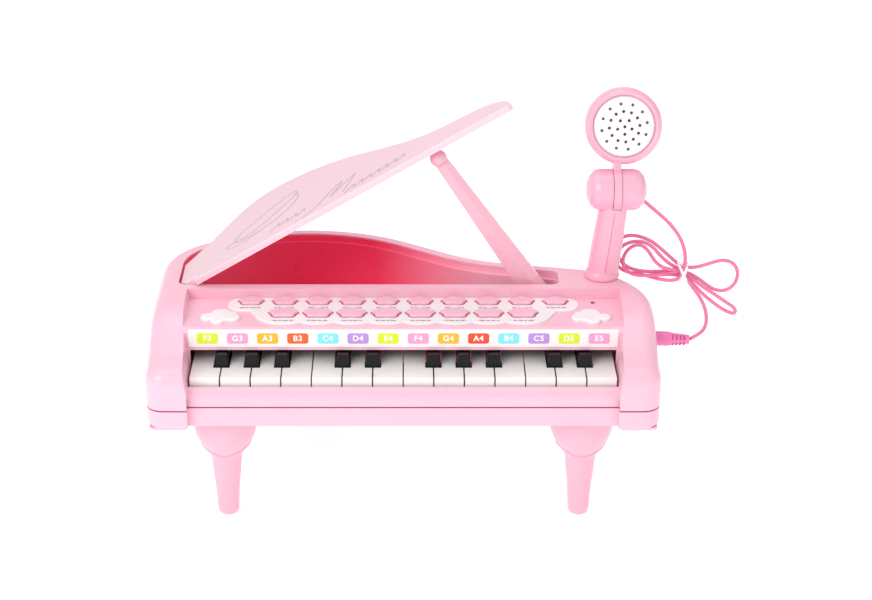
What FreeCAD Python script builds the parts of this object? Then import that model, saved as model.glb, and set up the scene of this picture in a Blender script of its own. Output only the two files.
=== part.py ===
import FreeCAD, Part
import math
import os
from FreeCAD import Vector

# Toy grand-piano keyboard with a propped lid and a plug-in microphone on a tied cord.
# Millimetres, +X to the player's right, +Y to the back, +Z up, floor at Z = 0.
# It is modelled about the middle of its keyboard and moved to its final origin at the end.

# ---- driving dimensions ----
KEY_PITCH = 23.54             # one white key, as on a full-size piano
WHITE_KEYS = 14               # F to E
HALF_WIDTH = 197.7            # middle of the keyboard to the outside of a cheek
CHEEK_FRONT_Y = -7.0          # the cheeks stand this far in front of the key slip
DECK_Z = 169.0                # top of the case
SEAM_Z = 112.2                # joint between the upper and lower shells
SEAM_GAP = 0.4
FLOOR_Z = 96.2                # underside of the case
WALL = 2.5                    # shell thickness
TOP_ROUND = 12.0              # rounding of the case's outer top edge
PANEL_Z = 160.1               # control panel
PANEL_FRONT_Y = 39.0
PANEL_BACK_Y = 95.8
OVERHANG_Z = 142.3            # underside of the panel's front wall, over the keys
SLIP_Z = 126.0                # top of the key slip
SLIP_BACK_Y = 8.0
CHEEK_INNER_X = 165.5
KEY_TOP_Z = 131.9
KEY_FRONT_Y = 10.0
BLACK_FRONT_Y = 29.4
BLACK_TOP_Z = 141.1
KEY_PIVOT_Y = 88.0
KEY_PIVOT_Z = 127.4
BAR_BACK_Y = 103.9            # front edge of the sound well under the lid
WELL_RIGHT_X = 125.0
WELL_FLOOR_Z = 124.0
RIM = 17.0                    # width of the flat rim around the well
LEDGE_Z = 163.0
BUTTON_PITCH = 26.9
BUTTON_ROWS = ((10, 87.0, 9.9), (8, 64.6, 11.5))   # count, Y of the row, star radius
LEG_X = 140.5
LEG_Y = 35.0
REAR_LEG = (-80.0, 186.0)
LID_ANGLE = 30.7              # how far the prop holds the lid open
LID_AXIS = (-165.3, 165.5)    # X and Z of the lid's hinge pin
PROP_AXIS = (168.0, 160.0)    # X and Z of the prop's pivot, hidden under the deck
PROP_TIP = (27.5, 273.8)      # X and Z of the prop's ball end
PROP_Y = 113.0
MIC_X = 160.5
MIC_Y = 120.5
BARREL_Z = 244.2
BARREL_DX = 8.7              # the microphone leans to the right by this much at its barrel
HEAD_DX = 13.2
HEAD_Z = 295.0
HEAD_TILT = 15.0              # degrees back from upright
CORD_D = 3.0

BLACK_AFTER = (1, 2, 3, 5, 6, 8, 9, 10, 12, 13)    # a black key follows these white keys
UP = Vector(0, 0, 1)
ALONG_X = Vector(1, 0, 0)
ALONG_Y = Vector(0, 1, 0)


# ---- small helpers ----
def box(x0, x1, y0, y1, z0, z1):
    return Part.makeBox(x1 - x0, y1 - y0, z1 - z0, Vector(x0, y0, z0))


def rod(radius, length, base, direction=UP):
    return Part.makeCylinder(radius, length, Vector(*base), direction)


def fuse(shapes):
    body = shapes[0]
    for other in shapes[1:]:
        body = body.fuse(other)
    return body.removeSplitter()


def closed(points):
    """A flat face inside a polygon."""
    return Part.Face(Part.makePolygon([Vector(*p) for p in points] + [Vector(*points[0])]))


def edges_where(shape, test):
    return [edge for edge in shape.Edges if test(edge)]


def rounded(shape, radius, test):
    """The shape with the chosen edges rounded, or unchanged where that cannot be built."""
    edges = edges_where(shape, test)
    for size in (radius, radius * 0.9, radius * 0.75):
        try:
            result = shape.makeFillet(size, edges)
            if result.isValid() and result.Volume > 0:
                return result
        except Exception:
            pass
    print("left sharp:", radius, len(edges), "edges")
    return shape


def at_height(z, slack=0.01):
    """Edges that lie in the horizontal plane z."""
    return lambda edge: abs(edge.BoundBox.ZMin - z) < slack and abs(edge.BoundBox.ZMax - z) < slack


def upright(edge):
    box_of = edge.BoundBox
    return box_of.ZLength > 0.5 and box_of.XLength < 0.01 and box_of.YLength < 0.01


def revolve(profile, base, axis=UP):
    """A solid turned from (radius, height) points, about an axis through base."""
    wire = Part.makePolygon([Vector(r, 0, z) for r, z in profile] + [Vector(profile[0][0], 0, profile[0][1])])
    solid = Part.Face(wire).revolve(Vector(0, 0, 0), UP, 360)
    solid.Placement = FreeCAD.Placement(Vector(*base), FreeCAD.Rotation(UP, axis))
    return solid


def smooth_profile(points, base):
    """A solid turned from a smooth curve through (radius, height) points, closed on its axis."""
    curve = Part.BSplineCurve()
    curve.interpolate([Vector(r, 0, z) for r, z in points])
    low, high = points[0], points[-1]
    edges = [curve.toShape(),
             Part.makeLine(Vector(high[0], 0, high[1]), Vector(0, 0, high[1])),
             Part.makeLine(Vector(0, 0, high[1]), Vector(0, 0, low[1])),
             Part.makeLine(Vector(0, 0, low[1]), Vector(low[0], 0, low[1]))]
    solid = Part.Face(Part.Wire(edges)).revolve(Vector(0, 0, 0), UP, 360)
    solid.translate(Vector(*base))
    return solid


# ---- case ----
def case_outline(inset):
    """Plan of the case as a face: straight sides, round shoulder and the grand piano's waist.

    Arcs are walked with a heading in degrees; a positive turn is to the left."""
    front = CHEEK_FRONT_Y
    corner, shoulder, crest, waist, tail = 14.0, 62.0, 150.0, 123.0, 70.0
    shoulder_turn, slope, tail_slope = -50.7, -35.0, -11.7
    steps = [("line", 143.6 - front - corner), ("arc", shoulder, shoulder_turn),
             ("arc", crest, slope - 90 - shoulder_turn), ("line", 41.0),
             ("arc", waist, tail_slope - slope), ("line", 0.0), ("arc", tail, -90 - tail_slope)]
    x, y, heading = -HALF_WIDTH, front + corner, 90.0
    edges = []

    def walk(kind, size, turn=0.0):
        nonlocal x, y, heading
        a = math.radians(heading)
        start = Vector(x, y, 0)
        if kind == "line":
            x, y = x + size * math.cos(a), y + size * math.sin(a)
            edges.append(Part.makeLine(start, Vector(x, y, 0)))
            return
        side = 1 if turn > 0 else -1
        cx, cy = x - side * size * math.sin(a), y + side * size * math.cos(a)

        def at(t):
            b = math.radians(heading + t) - side * math.pi / 2
            return Vector(cx + size * math.cos(b), cy + size * math.sin(b), 0)
        edges.append(Part.Arc(start, at(turn / 2), at(turn)).toShape())
        x, y, heading = at(turn).x, at(turn).y, heading + turn

    for kind, size, *turn in steps:
        if kind == "line" and size == 0.0:
            tail_reach = tail * (1 - math.sin(math.radians(-tail_slope)))
            size = (HALF_WIDTH - tail_reach - x) / math.cos(math.radians(tail_slope))
        walk(kind, size, *turn)
    walk("line", y - front - corner)
    walk("arc", corner, -90.0)
    walk("line", 2 * (HALF_WIDTH - corner))
    walk("arc", corner, -90.0)
    wire = Part.Wire(edges)
    if inset:
        wire = wire.makeOffset2D(-inset)
    return Part.Face(wire)


def case_side(inset):
    """Side view of the case top, as a prism: the cheeks sweep down to a rounded front."""
    path = [(-30, 140.5), (-7, 143.2), (14, 147.0), (28, 151.2), (38, 156.6), (48, 162.8), (62, 167.2),
            (80, 168.7), (99, DECK_Z)]
    points = [Vector(0, y, z - inset) for y, z in path]
    curve = Part.BSplineCurve()
    curve.interpolate(Points=points, InitialTangent=Vector(0, 1, 0.1), FinalTangent=Vector(0, 1, 0))
    start, end = points[0], points[-1]
    low, back = 60.0, 260.0
    corners = [end, Vector(0, back, end.z), Vector(0, back, low), Vector(0, start.y, low), start]
    edges = [curve.toShape()] + [Part.makeLine(a, b) for a, b in zip(corners, corners[1:])]
    prism = Part.Face(Part.Wire(edges)).extrude(Vector(500, 0, 0))
    prism.translate(Vector(-250, 0, 0))
    return prism


def case_block(inset, base_z):
    """The upper case as a solid block, or the space inside it when inset is its wall."""
    height = DECK_Z + 5 - base_z
    plan = case_outline(inset)
    plan.translate(Vector(0, 0, base_z))
    block = plan.extrude(Vector(0, 0, height)).common(case_side(inset))

    def outer_top(edge):
        extent = edge.BoundBox
        across = extent.YLength < 0.01 and extent.ZLength < 0.01
        return extent.ZMin > 135 and not upright(edge) and not (across and extent.YMin > 0)
    return rounded(block, TOP_ROUND - inset, outer_top)


def slope_half(z):
    """Half the width between the cheeks' inner faces: upright beside the key slip, then leaning outwards."""
    return CHEEK_INNER_X + max(z - SLIP_Z, 0.0) * 0.165


def trough(y0, y1, z0, grow=0.0):
    """The space between the cheeks, from z0 up."""
    heights = [z0, max(z0, SLIP_Z) + 0.5, DECK_Z + 8]
    right = [(slope_half(z) + grow, y0, z) for z in heights]
    left = [(-x, y, z) for x, y, z in reversed(right)]
    return closed(right + left).extrude(Vector(0, y1 - y0, 0))


def well(inset, z0, front_y, right_x, z1=DECK_Z + 5):
    """The open sound well under the lid, or its walls' outside when inset is smaller."""
    plan = case_outline(inset)
    plan.translate(Vector(0, 0, z0))
    block = plan.extrude(Vector(0, 0, z1 - z0)).common(box(-250, right_x, front_y, 260, z0, z1))
    return rounded(block, 6.0, lambda e: upright(e) and (abs(e.BoundBox.YMin - front_y) < 0.1
                                                         or abs(e.BoundBox.XMin - right_x) < 0.1))


def star(x, y, z0, z1, radius, extra=0.0):
    """A soft five-pointed star, wider than it is deep, as a prism."""
    points = []
    for i in range(40):
        a = 2 * math.pi * i / 40
        r = radius * (0.93 + 0.09 * math.cos(5 * (a - math.pi / 2)))
        squash = 0.70
        points.append(Vector(x + (r + extra) * math.cos(a), y + (r * squash + extra) * math.sin(a), z0))
    curve = Part.BSplineCurve()
    curve.interpolate(Points=points, PeriodicFlag=True)
    return Part.Face(Part.Wire(curve.toShape())).extrude(Vector(0, 0, z1 - z0))


def oval(x, y, z0, z1, half_x, half_y):
    face = Part.Face(Part.Wire(Part.Ellipse(Vector(x, y, z0), half_x, half_y).toShape()))
    return face.extrude(Vector(0, 0, z1 - z0))


def button_places():
    """Name, X, Y and star radius of each button, left to right, back row first."""
    places = []
    for label, (count, y, radius) in zip(("back", "front"), BUTTON_ROWS):
        for i in range(count):
            places.append(("%s_button_%02d" % (label, i + 1), (i - (count - 1) / 2) * BUTTON_PITCH, y, radius))
    return places


PROP_SLOT = (-26.0, WELL_RIGHT_X, 104.6, 121.4)      # X and Y of the slot that the prop folds into
SCREWS = ((-184.0, 22.0), (184.0, 22.0), (-184.0, 128.0), (184.0, 76.0), (-112.0, 196.0), (30.0, 152.0))
LID_LUGS_Y = ((104.2, 108.4), (140.0, 144.2))
LED_HOLE = (150.8, 88.0)
JACK_Y = 62.0
JACK_Z = 141.5


def upper_shell():
    block = case_block(0.0, SEAM_Z + SEAM_GAP / 2)
    inside = case_block(WALL, SEAM_Z - 1)
    keep = [trough(-30, PANEL_BACK_Y + WALL, PANEL_Z - WALL, WALL),
            trough(-30, PANEL_FRONT_Y + WALL, 120.0, WALL),
            well(RIM + 4 - WALL, WELL_FLOOR_Z - WALL, BAR_BACK_Y - WALL, WELL_RIGHT_X + WALL),
            well(RIM - WALL, LEDGE_Z - WALL, BAR_BACK_Y - WALL, WELL_RIGHT_X + WALL),
            rod(8.5, 30.0, (MIC_X, MIC_Y, DECK_Z - 6.5))]
    for solid in keep:
        inside = inside.cut(solid)
    shell = block.cut(trough(-30, PANEL_BACK_Y, PANEL_Z)).cut(trough(-30, PANEL_FRONT_Y, 60.0))
    shell = shell.cut(inside)
    window = box(-166.0, 166.0, PANEL_FRONT_Y - 2, PANEL_FRONT_Y + WALL + 2, 100, OVERHANG_Z)
    shell = shell.cut(window)
    shell = shell.cut(well(RIM + 4, WELL_FLOOR_Z, BAR_BACK_Y, WELL_RIGHT_X))
    shell = shell.cut(well(RIM, LEDGE_Z, BAR_BACK_Y, WELL_RIGHT_X))
    shell = fuse([shell] + upper_fittings(block))
    holes = [box(PROP_SLOT[0], PROP_SLOT[1] + 8, PROP_SLOT[2], PROP_SLOT[3], 100, WELL_FLOOR_Z + 38),
             rod(1.55, 80, (LID_AXIS[0], 101, LID_AXIS[1]), ALONG_Y),
             rod(1.55, 400, (-200, KEY_PIVOT_Y, KEY_PIVOT_Z), ALONG_X).common(box(-170, 170, 0, 200, 0, 200)),
             rod(1.55, 14, (PROP_AXIS[0], 101.9, PROP_AXIS[1]), ALONG_Y),
             rod(6.1, 10, (MIC_X, MIC_Y, DECK_Z - 4)),
             rod(1.7, 20, (LED_HOLE[0], LED_HOLE[1], 150)),
             rod(5.9, 20, (185, JACK_Y, JACK_Z), ALONG_X)]
    holes += [oval(x, y, 150, 165, radius + 0.7, radius * 0.72 + 0.7) for _, x, y, radius in button_places()]
    holes += [rod(1.3, 9, (x, y, SEAM_Z - 1)) for x, y in SCREWS]
    for hole in holes:
        shell = shell.cut(hole)
    return shell


def upper_fittings(block):
    """The key slip, the bearers of the key rod, the hinge lugs and the screw bosses."""
    low = SEAM_Z + SEAM_GAP / 2
    slip = box(-171, 171, 0, SLIP_BACK_Y, low, SLIP_Z)
    slip = slip.cut(box(-172, 172, WALL, SLIP_BACK_Y - WALL, low - 1, SLIP_Z - WALL))
    slip = rounded(slip, 7.0, lambda e: abs(e.BoundBox.YMax) < 0.01 and abs(e.BoundBox.ZMin - SLIP_Z) < 0.01)
    parts = [slip]
    for side in (-1, 1):
        x0, x1 = sorted((side * 166.2, side * 170.5))
        parts.append(box(x0, x1, 83, 93, 122, PANEL_Z - 1))
    for y0, y1 in LID_LUGS_Y:
        lug = rod(3.3, y1 - y0, (LID_AXIS[0], y0, LID_AXIS[1]), ALONG_Y)
        foot = box(LID_AXIS[0] - 3.3, LID_AXIS[0] + 3.3, y0, y1, WELL_FLOOR_Z - 1, LID_AXIS[1])
        parts.append(lug.fuse(foot))
    for y0, y1 in ((101.9, 104.6), (111.8, 114.4)):
        ear = rod(3.6, y1 - y0, (PROP_AXIS[0], y0, PROP_AXIS[1]), ALONG_Y)
        web = box(PROP_AXIS[0] - 3.6, PROP_AXIS[0] + 3.6, y0, y1, PROP_AXIS[1], DECK_Z - 2)
        parts.append(ear.fuse(web))
    for x, y in SCREWS:
        top = WELL_FLOOR_Z - 1 if abs(x) < 150 else DECK_Z
        parts.append(rod(3.6, top - low, (x, y, low)).common(block))
    return parts + board_posts(upper=True)


def lower_shell():
    top = SEAM_Z - SEAM_GAP / 2
    plan = case_outline(0.0)
    plan.translate(Vector(0, 0, FLOOR_Z))
    outer = plan.extrude(Vector(0, 0, top - FLOOR_Z))
    outer = rounded(outer, 3.5, at_height(FLOOR_Z))
    room = case_outline(WALL)
    room.translate(Vector(0, 0, FLOOR_Z + WALL))
    shell = outer.cut(room.extrude(Vector(0, 0, 40)))
    shell = shell.cut(box(-CHEEK_INNER_X, CHEEK_INNER_X, -30, 0, 80, 130))
    shell = shell.fuse(box(-CHEEK_INNER_X, CHEEK_INNER_X, 0, WALL, FLOOR_Z, top))
    pads = []
    for side in (-1, 1):
        x0, x1 = sorted((side * CHEEK_INNER_X, side * (HALF_WIDTH - 1)))
        shell = shell.fuse(box(x0 if side > 0 else x1 - WALL, x0 + WALL if side > 0 else x1, -5, 1, FLOOR_Z, top))
        pad = box(x0 + 1, x1 - 1, CHEEK_FRONT_Y + 3, 90, FLOOR_Z - 3.1, FLOOR_Z + 0.5)
        pads.append(rounded(pad, 3.0, lambda e: upright(e) or at_height(FLOOR_Z - 3.1)(e)))
    bosses = [rod(3.6, top - FLOOR_Z - 1, (x, y, FLOOR_Z + 1)) for x, y in SCREWS]
    sockets = [rod(10.5, 12, (x, y, FLOOR_Z + 1)) for x, y in leg_places()]
    shell = fuse([shell] + pads + bosses + sockets + battery_walls() + board_posts(upper=False))
    holes = [rod(1.7, 30, (x, y, FLOOR_Z - 5)) for x, y in SCREWS]
    holes += [rod(3.2, 8, (x, y, FLOOR_Z - 5)) for x, y in SCREWS]
    holes += [rod(7.1, 9.2, (x, y, FLOOR_Z - 1)) for x, y in leg_places()]
    holes += [rod(1.7, 30, (x, y, FLOOR_Z + 5)) for x, y in leg_places()]
    holes += [box(BATTERY[0], BATTERY[1], BATTERY[2], BATTERY[3], FLOOR_Z - 1, FLOOR_Z + WALL + 1)]
    holes += [rod(1.6, 6, (SPEAKER[0] + 9 * i, SPEAKER[1] + 9 * j, FLOOR_Z - 1))
              for i in (-2, -1, 0, 1, 2) for j in (-2, -1, 0, 1, 2) if i * i + j * j < 6]
    holes += [box(SWITCH[0] - 6, SWITCH[0] + 6, SWITCH[1] - 3, SWITCH[1] + 3, FLOOR_Z - 1, FLOOR_Z + WALL + 1)]
    for hole in holes:
        shell = shell.cut(hole)
    return shell


BATTERY = (-150.0, -82.0, 112.0, 160.0)     # opening of the battery bay, three AA cells side by side
SPEAKER = (-20.0, 160.0)
SPEAKER_R = 28.0
SWITCH = (110.0, 90.0)


def battery_walls():
    x0, x1, y0, y1 = BATTERY
    tray = box(x0 - 4, x1 + 4, y0 - 4, y1 + 4, FLOOR_Z + 1, SEAM_Z + 6.8)
    return [tray.cut(box(x0 - 2, x1 + 2, y0 - 2, y1 + 2, FLOOR_Z, SEAM_Z + 4.8))]


def battery_door():
    x0, x1, y0, y1 = BATTERY
    plate = box(x0 + 0.4, x1 - 0.4, y0 + 0.4, y1 - 0.4, FLOOR_Z, FLOOR_Z + WALL)
    plate = rounded(plate, 2.0, upright)
    tongue = box(x0 + 0.6, x0 + 8, (y0 + y1) / 2 - 6, (y0 + y1) / 2 + 6, FLOOR_Z + 1, FLOOR_Z + WALL + 1.2)
    grips = [box(x1 - 16 + 3 * i, x1 - 14.6 + 3 * i, y0 + 14, y1 - 14, FLOOR_Z - 0.6, FLOOR_Z + 0.5)
             for i in range(4)]
    return fuse([plate, tongue] + grips)


def leg_places():
    return ((-LEG_X, LEG_Y), (LEG_X, LEG_Y), REAR_LEG)


def leg(x, y):
    """A turned leg with a wide flower-like cup, plugged into the case from below."""
    profile = [(5.6, 0.0), (7.6, 1.2), (8.4, 4.0), (8.9, 12.0), (10.4, 32.0), (11.8, 46.0), (13.0, 54.0),
               (16.6, 60.5), (20.8, 67.0), (24.0, 75.0), (25.8, 84.0), (26.4, 92.0), (26.2, FLOOR_Z - 0.02)]
    turned = smooth_profile(profile, (x, y, 0))
    plug = rod(7.0, 8.0, (x, y, FLOOR_Z - 0.5))
    return fuse([turned, plug]).cut(rod(1.4, 20, (x, y, FLOOR_Z - 12)))


# ---- keyboard ----
def boundary_x(index):
    return (index - WHITE_KEYS / 2) * KEY_PITCH


BLACK_W = 11.4


def white_key(number):
    """One white key with notches for its black neighbours, a lip, a post and a pivot eye."""
    gap = 0.5
    x0, x1 = boundary_x(number - 1) + gap, boundary_x(number) - gap
    notch_left = number - 1 in BLACK_AFTER
    notch_right = number in BLACK_AFTER
    side = BLACK_W / 2 + 0.7
    t0 = boundary_x(number - 1) + (side if notch_left else gap)
    t1 = boundary_x(number) - (side if notch_right else gap)
    back = KEY_PIVOT_Y + 4
    plate = box(x0, x1, KEY_FRONT_Y, BLACK_FRONT_Y - 0.7, KEY_TOP_Z - 4, KEY_TOP_Z)
    plate = plate.fuse(box(x0, x1, KEY_FRONT_Y, KEY_FRONT_Y + 2.2, KEY_TOP_Z - 9, KEY_TOP_Z - 2))
    plate = rounded(plate.removeSplitter(), 2.0,
                    lambda e: abs(e.BoundBox.YMax - KEY_FRONT_Y) < 0.01 and at_height(KEY_TOP_Z)(e))
    tail = box(t0, t1, BLACK_FRONT_Y - 2, back, KEY_TOP_Z - 4, KEY_TOP_Z)
    post = box((t0 + t1) / 2 - 2, (t0 + t1) / 2 + 2, 58, 62, 121.2, KEY_TOP_Z - 3)
    eye = rod(3.4, t1 - t0, (t0, KEY_PIVOT_Y, KEY_PIVOT_Z), ALONG_X)
    key = fuse([plate, tail, post, eye])
    key = rounded(key, 0.5, lambda e: at_height(KEY_TOP_Z)(e) and e.BoundBox.YMin > KEY_FRONT_Y + 1
                  and e.BoundBox.YMax < BLACK_FRONT_Y + 0.1 and e.BoundBox.YLength > 5)
    return key.cut(rod(1.55, 60, (x0 - 10, KEY_PIVOT_Y, KEY_PIVOT_Z), ALONG_X))


def black_key(number):
    """One black key: a tapered block on a tail."""
    x = boundary_x(number)
    foot, top = BLACK_W / 2, 4.7
    y0, y1 = BLACK_FRONT_Y, 60.0
    z0, z1 = KEY_TOP_Z - 4, BLACK_TOP_Z
    low = Part.makePolygon([Vector(x - foot, y0, z0), Vector(x + foot, y0, z0), Vector(x + foot, y1, z0),
                            Vector(x - foot, y1, z0), Vector(x - foot, y0, z0)])
    high = Part.makePolygon([Vector(x - top, y0 + 2.9, z1), Vector(x + top, y0 + 2.9, z1),
                             Vector(x + top, y1, z1), Vector(x - top, y1, z1), Vector(x - top, y0 + 2.9, z1)])
    cap = Part.makeLoft([low, high], True, True)
    cap = rounded(cap, 1.1, lambda e: at_height(z1)(e) or (e.BoundBox.ZLength > 5 and e.BoundBox.YMin < y0 + 4
                                                           and e.BoundBox.YMax < y0 + 5))
    tail = box(x - foot, x + foot, y1 - 2, KEY_PIVOT_Y + 4, z0, KEY_TOP_Z)
    post = box(x - 2, x + 2, 58, 62, 121.2, z0 + 1)
    eye = rod(3.4, BLACK_W, (x - foot, KEY_PIVOT_Y, KEY_PIVOT_Z), ALONG_X)
    return fuse([cap, tail, post, eye]).cut(rod(1.55, 60, (x - 30, KEY_PIVOT_Y, KEY_PIVOT_Z), ALONG_X))


def button(x, y, radius):
    """A star-topped push button with the collar that keeps it under the panel."""
    cap = star(x, y, PANEL_Z - WALL + 0.1, PANEL_Z + 3.6, radius)
    cap = rounded(cap, 1.3, at_height(PANEL_Z + 3.6))
    collar = oval(x, y, PANEL_Z - WALL - 2.3, PANEL_Z - WALL - 0.3, radius + 1.6, radius * 0.72 + 1.4)
    stem = oval(x, y, PANEL_Z - WALL - 1, PANEL_Z - WALL + 1, radius * 0.7, radius * 0.5)
    return fuse([cap, collar, stem])


def panel_trim():
    """The raised white surround of the buttons and the two clouds beside it."""
    z0, z1 = PANEL_Z, PANEL_Z + 1.4
    upper_y0, upper_y1, half = 71.0, PANEL_BACK_Y - 0.4, 139.5
    end = (upper_y1 - upper_y0) / 2
    parts = [box(-half + end, half - end, upper_y0, upper_y1, z0, z1)]
    parts += [rod(end, z1 - z0, (side * (half - end), upper_y0 + end, z0)) for side in (-1, 1)]
    parts.append(box(-112, 112, 62.5, 76, z0, z1))
    parts += [rod(8.5, z1 - z0, (side * 112, 71.0, z0)) for side in (-1, 1)]
    scallop = 24.0
    for i in range(8):
        parts.append(rod(scallop, z1 - z0, ((i - 3.5) * BUTTON_PITCH, 46 + scallop, z0)))
    plate = fuse(parts)
    plate = rounded(plate, 0.9, at_height(z1))
    for _, x, y, radius in button_places():
        plate = plate.cut(star(x, y, z0 - 1, z1 + 1, radius, 0.45))
    lobes = ((0.5, 4.0, 8.6), (-9.8, -1.2, 5.6), (9.5, -1.8, 6.0), (3.4, -2.0, 6.6), (-1.6, -6.6, 5.7), (8.8, 3.2, 4.4))
    clouds = []
    for side, x in ((1, -143.5), (-1, 147.0)):
        cloud = fuse([rod(r, 3.0, (x + side * dx, 58.5 + dy, z0)) for dx, dy, r in lobes])
        clouds.append(rounded(cloud, 1.3, at_height(z0 + 3.0)))
    return Part.makeCompound([plate] + clouds)


def label_strip():
    strip = box(-167.0, 167.0, PANEL_FRONT_Y - 0.8, PANEL_FRONT_Y, 145.1, PANEL_Z - 0.1)
    return rounded(strip, 0.35, lambda e: abs(e.BoundBox.YMax - PANEL_FRONT_Y + 0.8) < 0.01)


# ---- lid and prop ----
LID_BAND = 5.2
LID_UNDER = 3.8               # from the hinge pin up to the lid's rim
LID_PLATE = 1.8


def flat_face(points, z):
    """A flat face through plan points, at one height."""
    loop = [Vector(x, y, z) for x, y in points]
    return Part.Face(Part.makePolygon(loop + [loop[0]]))


def lid_outline(inset, z):
    """Plan of the lid from its hinge pin: straight front, then the same curve as the case."""
    back = [(-11.1, 145), (-3, 152), (10, 165), (25, 182), (46, 203), (72, 211.5), (99, 207.5), (126, 197),
            (152, 181.5), (177, 163), (201, 146.5), (226, 135.5), (252, 131.5), (273, 127), (287, 117),
            (293.5, 100)]
    drawn = Part.BSplineCurve()
    drawn.interpolate(Points=[Vector(x, y, z) for x, y in back], InitialTangent=Vector(0.7, 0.7, 0),
                      FinalTangent=Vector(0.1, -1, 0))
    points = []
    for x, y in back:
        along = drawn.tangent(drawn.parameter(Vector(x, y, z)))[0]
        points.append(Vector(x + along.y * inset, y - along.x * inset, z))
    curve = Part.BSplineCurve()
    curve.interpolate(points)
    ends = [points[-1], Vector(points[-1].x, 80, z), Vector(-40, 80, z), Vector(-40, points[0].y, z), points[0]]
    sides = [Part.makeLine(a, b) for a, b in zip(ends, ends[1:])]
    curved = Part.Face(Part.Wire([curve.toShape()] + sides))
    straight = flat_face([(3 + inset, 100 + inset), (310, 100 + inset), (310, 230), (-11.1 + inset, 230),
                          (-11.1 + inset, 109.8 + inset), (-6 + inset, 104.6 + inset),
                          (3 + inset, 104.6 + inset)], z)
    return curved.common(straight).Faces[0]


def opened(shape):
    """Swings a shape drawn about the hinge pin, closed, up to the propped-open rest pose."""
    shape.rotate(Vector(0, 0, 0), ALONG_Y, -LID_ANGLE)
    shape.translate(Vector(LID_AXIS[0], 0, LID_AXIS[1]))
    return shape


def lid():
    band = lid_outline(0.0, LID_UNDER).extrude(Vector(0, 0, LID_BAND))
    band = rounded(band, 4.0, lambda e: upright(e) and e.BoundBox.XMin > 290)
    band = rounded(band, 1.2, lambda e: at_height(LID_UNDER + LID_BAND)(e))
    hollow = lid_outline(2.2, LID_UNDER - 1).extrude(Vector(0, 0, LID_BAND - LID_PLATE + 1))
    y0, y1 = LID_LUGS_Y[0][1] + 0.4, LID_LUGS_Y[1][0] - 0.4
    knuckle = rod(3.3, y1 - y0, (0, y0, 0), ALONG_Y)
    web = box(-3.0, 3.0, y0, y1, 0, LID_UNDER + LID_BAND - 1)
    body = fuse([band.cut(hollow), knuckle, web])
    return opened(body.cut(rod(1.55, 70, (0, 100, 0), ALONG_Y)))


def lid_prop():
    """The stick that holds the lid up; its cranked foot turns on a pin under the deck."""
    tip = Vector(PROP_TIP[0], 0, PROP_TIP[1])
    lean = math.radians(55.4)
    down = Vector(math.cos(lean), 0, -math.sin(lean))
    across = Vector(math.sin(lean), 0, math.cos(lean))

    def section(t, half):
        centre = tip + down * t
        ridge = centre + across * half * 0.3
        y0, y1 = PROP_Y - 4.2, PROP_Y + 3.2
        corners = [centre - across * half, centre + across * half]
        loop = [corners[0] + ALONG_Y * (y0 + 2), ridge + ALONG_Y * y0, corners[1] + ALONG_Y * (y0 + 2.6),
                corners[1] + ALONG_Y * y1, corners[0] + ALONG_Y * y1]
        return Part.makePolygon(loop + [loop[0]])

    stick = Part.makeLoft([section(3.0, 5.2), section(148.0, 10.2)], True, True)
    ball = Part.makeSphere(6.8, Vector(tip.x, PROP_Y - 0.5, tip.z))
    pivot = Vector(PROP_AXIS[0], 0, PROP_AXIS[1])
    foot = tip + down * 140.0
    y0, y1 = 105.0, 111.4
    arm = closed([(foot.x - 9, y0, foot.z - 2), (foot.x + 2, y0, foot.z - 7), (pivot.x, y0, pivot.z - 4.4),
                  (pivot.x, y0, pivot.z + 4.4), (foot.x + 14, y0, foot.z + 1), (foot.x, y0, foot.z + 6)])
    arm = arm.extrude(Vector(0, y1 - y0, 0))
    eye = rod(4.4, y1 - y0, (pivot.x, y0, pivot.z), ALONG_Y)
    return fuse([stick, ball, arm, eye]).cut(rod(1.55, 20, (pivot.x, 100, pivot.z), ALONG_Y))


# ---- microphone ----
def mic_point(z):
    """X of the leaning microphone's axis at a height."""
    return MIC_X + BARREL_DX * (z - DECK_Z) / (BARREL_Z - DECK_Z)


BARREL_R = 16.5
NECK_HALF = 3.1
PIN_R = 4.0


def tilted(shape):
    """Leans the head back about the barrel's pin, to the rest pose in which it faces up."""
    shape.rotate(Vector(MIC_X + BARREL_DX, MIC_Y, BARREL_Z), ALONG_X, -HEAD_TILT)
    return shape


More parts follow.
